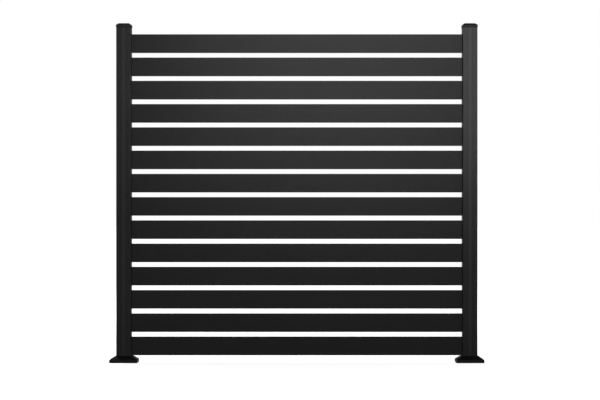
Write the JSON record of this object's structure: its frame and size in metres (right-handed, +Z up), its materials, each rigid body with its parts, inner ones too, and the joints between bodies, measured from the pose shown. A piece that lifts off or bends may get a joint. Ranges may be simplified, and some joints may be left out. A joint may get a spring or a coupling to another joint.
{
  "type": "aluminium fence panel",
  "caption": "Black powder-coated aluminium fence panel: flat horizontal slats held in slotted square posts with bevelled caps, on bolt-down base plates under sloped covers.",
  "frame": {"origin": "centre of the left post's base plate, on its underside, at ground level", "axes": "+X along the panel from the left post to the right post, +Y from the front to the back, +Z up"},
  "size_m": [2.007, 0.15, 1.821],
  "materials": {
    "powder_coat": "satin black powder coat on extruded aluminium",
    "infill_plastic": "smooth black extruded plastic, a little glossier than the coat",
    "moulded_plastic": "fine-grained black moulded plastic"
  },
  "bodies": {
    "root": {"left_post": "powder_coat", "right_post": "powder_coat", "left_base_plate": "powder_coat", "right_base_plate": "powder_coat", "slat_01": "powder_coat", "slat_02": "powder_coat", "slat_03": "powder_coat", "slat_04": "powder_coat", "slat_05": "powder_coat", "slat_06": "powder_coat", "slat_07": "powder_coat", "slat_08": "powder_coat", "slat_09": "powder_coat", "slat_10": "powder_coat", "slat_11": "powder_coat", "slat_12": "powder_coat", "slat_13": "powder_coat", "slat_14": "powder_coat", "left_front_strip": "infill_plastic", "left_back_strip": "infill_plastic", "left_outer_strip": "infill_plastic", "right_front_strip": "infill_plastic", "right_back_strip": "infill_plastic", "right_outer_strip": "infill_plastic", "left_spacers": "infill_plastic", "right_spacers": "infill_plastic", "left_base_cover": "moulded_plastic", "left_post_cap": "moulded_plastic", "right_base_cover": "moulded_plastic", "right_post_cap": "moulded_plastic"}
  },
  "joints": []
}
